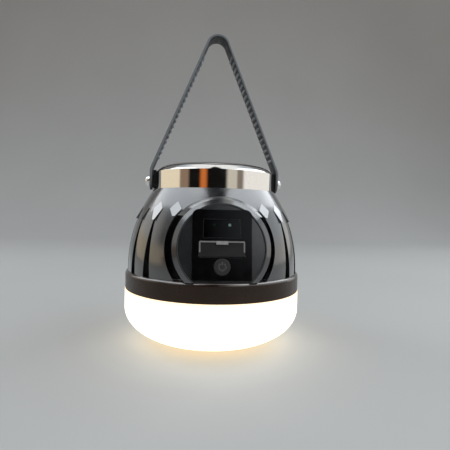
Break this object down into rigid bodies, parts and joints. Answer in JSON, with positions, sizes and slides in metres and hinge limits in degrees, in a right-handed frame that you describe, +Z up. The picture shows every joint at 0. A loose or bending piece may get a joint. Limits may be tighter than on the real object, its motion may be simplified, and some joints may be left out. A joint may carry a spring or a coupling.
{
  "type": "camping lantern",
  "caption": "Camping lantern with a ribbed ogive housing, a lit dome, a chrome collar, a strap handle and a front pod with a display, a port flap and a push button.",
  "frame": {"origin": "middle of the flat at the bottom of the dome, which the lantern stands on", "axes": "+Z up along the lantern's axis, the control panel faces -Y, the handle's pivots lie along X"},
  "size_m": [0.13, 0.13, 0.228],
  "materials": {
    "housing_black": "satin moulded ABS",
    "trim_black": "satin gloss",
    "diffuser_white": "milky, lit from inside",
    "chrome": "polished",
    "strap_rubber": "matte silicone",
    "seal_rubber": "matte",
    "lug_black": "satin",
    "fascia_gloss": "gloss",
    "lens_tint": "dark tinted",
    "flap_black": "satin",
    "button_black": "satin gloss",
    "steel": "machined",
    "brass": "turned",
    "aluminium": "satin",
    "board_green": "solder mask",
    "board_white": "white solder mask",
    "led_yellow": "phosphor",
    "led_green": "clear green",
    "holder_white": "moulded",
    "part_black": "moulded",
    "cell_wrap": "shrink sleeve",
    "nickel": "plated strip",
    "solar_cell": "cells under film",
    "clear_cover": "clear",
    "wire_red": "insulated wire"
  },
  "bodies": {
    "lantern": {"upper_housing": "housing_black", "trim_ring": "trim_black", "diffuser_dome": "diffuser_white", "dome_seal": "seal_rubber", "chrome_collar": "chrome", "collar_seal": "seal_rubber", "solar_plate": "solar_cell", "solar_cover": "clear_cover", "left_lug": "lug_black", "right_lug": "lug_black", "handle_screws": "chrome", "handle_bushes": "brass", "handle_nuts": "steel", "control_fascia": "fascia_gloss", "display_lens": "lens_tint", "tact_switch": "part_black", "control_board": "board_green", "board_screws": "steel", "board_connectors": "holder_white", "charge_coil": "part_black", "light_guide": "part_black", "indicator_leds": "led_green", "usb_a_shell": "steel", "usb_a_tongue": "holder_white", "usb_c_shell": "steel", "usb_c_tongue": "part_black", "lamp_plate": "aluminium", "plate_screws": "steel", "led_board": "board_white", "led_chips": "led_yellow", "led_screws": "steel", "battery_cells": "cell_wrap", "cell_links": "nickel", "battery_base": "holder_white", "battery_cap": "holder_white", "battery_bolt": "steel", "solar_lead": "wire_red", "battery_lead": "wire_red", "lamp_lead": "wire_red"},
    "handle": {"handle_strap": "strap_rubber"},
    "flap": {"port_flap": "flap_black", "flap_pin": "steel"},
    "button": {"power_button": "button_black", "switch_plunger": "part_black"}
  },
  "joints": [
    {"name": "handle_swing", "type": "hinge", "parent": "lantern", "child": "handle", "pos_m": [0, 0, 0.1186], "axis": [1, 0, 0], "range_deg": [-80, 80]},
    {"name": "flap_hinge", "type": "hinge", "parent": "lantern", "child": "flap", "pos_m": [0, -0.05848, 0.06949], "axis": [1, 0, 0], "range_deg": [0, 95]},
    {"name": "button_press", "type": "slide", "parent": "lantern", "child": "button", "axis": [0, 0.9877, -0.1564], "range_m": [0, 0.001], "stiffness_N_per_m": 1500, "springref_m": -0.0004}
  ]
}
